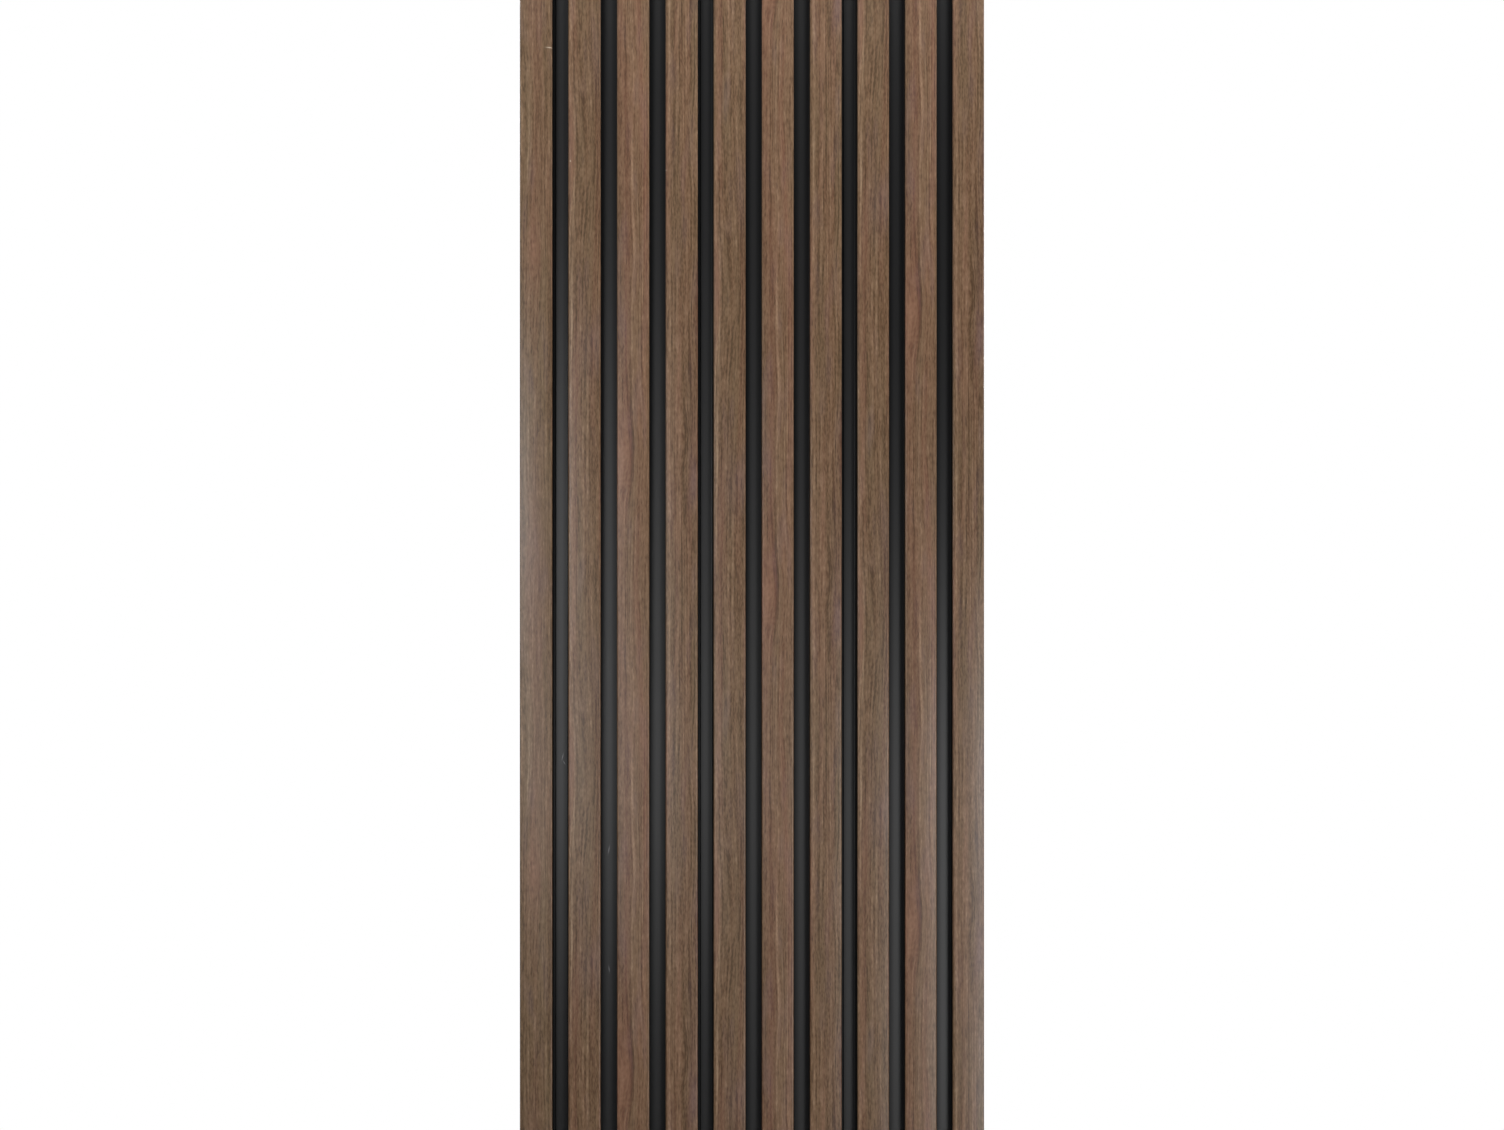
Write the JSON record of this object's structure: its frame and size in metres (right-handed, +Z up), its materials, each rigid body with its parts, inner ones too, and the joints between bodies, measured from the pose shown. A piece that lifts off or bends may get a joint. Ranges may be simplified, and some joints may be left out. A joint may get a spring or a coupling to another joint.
{
  "type": "slatted wall panel",
  "caption": "Slatted wall panel of interlocking black foamed profiles with raised slats wrapped in walnut-look decor foil.",
  "frame": {"origin": "middle of the panel's back at its bottom end, on the wall surface", "axes": "+Z up along the slats, +Y into the wall, +X to the right as seen from the room"},
  "size_m": [0.393, 0.012, 2.65],
  "materials": {
    "black_polystyrene": "satin",
    "walnut_foil": "satin walnut print"
  },
  "bodies": {
    "root": {"end_trim": "black_polystyrene", "slat_profile_1": "black_polystyrene", "slat_profile_2": "black_polystyrene", "slat_profile_3": "black_polystyrene", "slat_foil_01": "walnut_foil", "slat_foil_02": "walnut_foil", "slat_foil_03": "walnut_foil", "slat_foil_04": "walnut_foil", "slat_foil_05": "walnut_foil", "slat_foil_06": "walnut_foil", "slat_foil_07": "walnut_foil", "slat_foil_08": "walnut_foil", "slat_foil_09": "walnut_foil", "slat_foil_10": "walnut_foil"}
  },
  "joints": []
}
